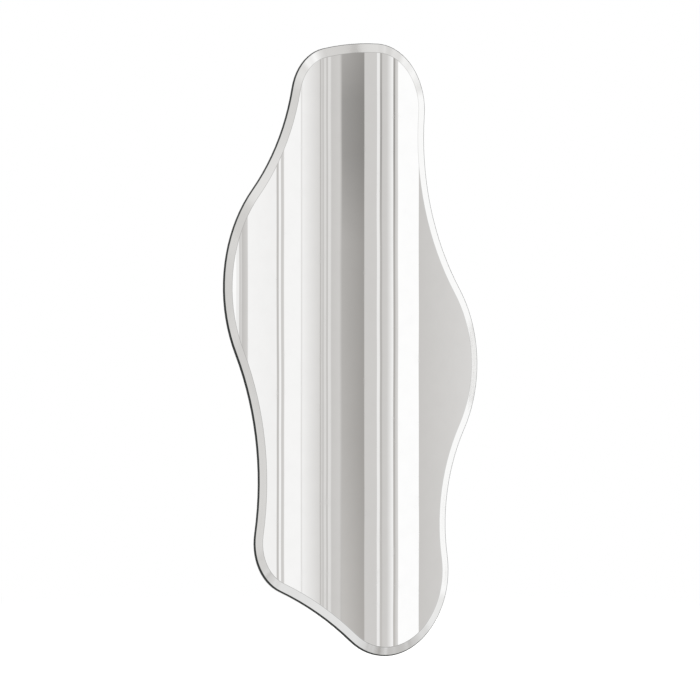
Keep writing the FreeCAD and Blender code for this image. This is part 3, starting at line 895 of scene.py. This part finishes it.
def panel_light(tree, angle, height):
    """The light that a glossy surface sees at an angle and a height in degrees."""
    crisp = level_panels(tree, angle, height)
    share = tree.math("DIVIDE", angle, PANEL_TURN)
    soft = tree.ramp(share, [(at / PANEL_TURN, warm_grey(tone)) for at, tone in SOFT_TONES])
    panels_left = tree.span(tree.step(height, *LOW_HEIGHTS), LOW_PANEL_SHARE, 0.0)
    off_level = tree.step(tree.math("ABSOLUTE", height), *SOFT_BEYOND)
    colour = tree.mix(off_level, crisp, tree.mix(panels_left, soft, crisp))
    ground = tree.span(tree.step(height, *GROUND_HEIGHTS), GROUND_SHADE, 1.0)
    strength = tree.math("MULTIPLY", MIRROR_GAIN, ground)
    return tree.light("ShaderNodeBackground", colour, strength)


def studio():
    """White for the camera, even and soft for matt surfaces, and panels for glossy ones."""
    world = bpy.data.worlds.new("studio")
    bpy.context.scene.world = world
    world.use_nodes = True
    tree = Tree(world.node_tree)
    x, y, z = tree.split(tree.node("ShaderNodeTexCoord").outputs["Generated"])
    heading = tree.math("ARCTAN2", x, tree.math("MULTIPLY", y, -1.0))
    degrees = tree.math("MULTIPLY", heading, math.degrees(1))
    angle = tree.math("FLOORED_MODULO", degrees, PANEL_TURN)
    height = tree.math("MULTIPLY", tree.math("ARCSINE", z), math.degrees(1))

    glossy = panel_light(tree, angle, height)
    strength = tree.span(tree.step(z, *EVEN_HEIGHTS), *EVEN_STRENGTHS)
    even = tree.light("ShaderNodeBackground", EVEN_TINT, strength)
    white = tree.light("ShaderNodeBackground", WHITE, 1.0)

    rays = tree.node("ShaderNodeLightPath").outputs
    shiny = tree.math("ADD", rays["Is Glossy Ray"], rays["Is Transmission Ray"], clamp=True)
    lit = tree.mix_shaders(shiny, even, glossy)
    seen = tree.mix_shaders(rays["Is Camera Ray"], lit, white)
    tree.node("ShaderNodeOutputWorld", None, {"Surface": seen})


def floor_material():
    """Pale and matt from above, white for the camera away from the mirror, clear from below."""
    material, tree = new_material("pale_floor")
    dark, light = (0.84, 0.84, 0.835, 1), (0.88, 0.88, 0.875, 1)
    x, y, _ = tree.split(tree.place())
    squares = tree.math("ADD", tree.math("MULTIPLY", x, x), tree.math("MULTIPLY", y, y))
    away = tree.step(tree.math("SQRT", squares), *FLOOR_FADE)
    colour = tree.mix(tree.noise(24.0, detail=4.0), dark, light)
    matt = tree.node("ShaderNodeBsdfDiffuse", None, {"Color": colour}).outputs[0]
    seen = tree.node("ShaderNodeLightPath").outputs["Is Camera Ray"]
    lift = tree.light("ShaderNodeEmission", WHITE, tree.math("MULTIPLY", seen, FLOOR_LIFT))
    white = tree.light("ShaderNodeEmission", WHITE, seen)
    pale = tree.mix_shaders(away, tree.add_shaders(matt, lift), white)
    below = tree.node("ShaderNodeNewGeometry").outputs["Backfacing"]
    clear = tree.node("ShaderNodeBsdfTransparent").outputs[0]
    tree.node("ShaderNodeOutputMaterial", None, {"Surface": tree.mix_shaders(below, pale, clear)})
    return material


def floor():
    """A pale disc under the mirror that keeps a soft shadow and fades to white all round."""
    shape = bmesh.new()
    bmesh.ops.create_circle(shape, cap_ends=True, segments=FLOOR_SIDES, radius=FLOOR_RADIUS)
    mesh = bpy.data.meshes.new("floor")
    shape.to_mesh(mesh)
    shape.free()
    mesh.materials.append(floor_material())
    disc = bpy.data.objects.new("floor", mesh)
    disc.location = (0, 0, GLASS_LOW.z - FLOOR_DROP)
    disc.visible_glossy = False
    bpy.context.scene.collection.objects.link(disc)


def aimed(name, data, place, aim):
    """A lamp or a camera at a place, looking along a direction."""
    holder = bpy.data.objects.new(name, data)
    holder.location = place
    holder.rotation_mode = "QUATERNION"
    holder.rotation_quaternion = aim.to_track_quat("-Z", "Y")
    bpy.context.scene.collection.objects.link(holder)
    return holder


def lamp(name, place, size, power):
    """A large soft lamp that glossy surfaces don't show."""
    light = bpy.data.lights.new(name, "AREA")
    light.shape = "DISK"
    light.size = size
    light.energy = power
    holder = aimed(name, light, place, CENTRE - Vector(place))
    holder.visible_glossy = False


def camera():
    turn = math.radians(CAMERA_TURN)
    back = Vector((-math.sin(turn), -math.cos(turn), 0))
    data = bpy.data.cameras.new("camera")
    data.lens = CAMERA_LENS
    data.shift_x, data.shift_y = CAMERA_SHIFT
    bpy.context.scene.camera = aimed("camera", data, CENTRE + back * CAMERA_DISTANCE, -back)


# ---------------------------------------------------------------------------------------------
# The mirror and its studio
# ---------------------------------------------------------------------------------------------

nickel = metal(
    "nickel_plate",
    light=(0.80, 0.78, 0.74),
    dark=(0.62, 0.60, 0.57),
    roughness=0.16,
    scratches=900.0,
    stretch=(1, 1, 1),
    bump=0.006 * MM,
)
screw_zinc = metal(
    "zinc_screw",
    light=(0.72, 0.72, 0.73),
    dark=(0.46, 0.47, 0.50),
    roughness=0.26,
    scratches=1400.0,
    stretch=(1, 0.4, 1),
    bump=0.01 * MM,
    spangle=0.4,
)
strap_zinc = metal(
    "zinc_strap",
    light=(0.58, 0.59, 0.61),
    dark=(0.34, 0.35, 0.37),
    roughness=0.36,
    scratches=700.0,
    stretch=(3, 1, 0.25),
    bump=0.01 * MM,
    spangle=0.5,
)
backing_paint = paint(
    "backing_paint",
    light=(0.34, 0.36, 0.37),
    dark=(0.27, 0.29, 0.30),
    grain=420.0,
    roughness=0.55,
    bump=0.06 * MM,
)

dress_glass()
dress(backing_paint, "silver_backing")
dress(woven_film(), "safety_film")
dress(foam(), *(f"foam_tape_{place}" for place in ("left", "middle", "right")))
dress(
    adhesive(),
    "adhesive_bead_outer_left",
    "adhesive_bead_inner_left",
    "adhesive_bead_inner_right",
    "adhesive_bead_outer_right",
)
dress(fibreboard(), "backing_board")
dress(strap_zinc, "hanger_strap_left", "hanger_strap_right")
for side in ("left", "right"):
    wire_ring(side, nickel)
screws(screw_zinc)
rounded_pads(rubber())

studio()
floor()
for settings in LAMPS:
    lamp(*settings)
bpy.context.scene.view_settings.view_transform = "Standard"
camera()
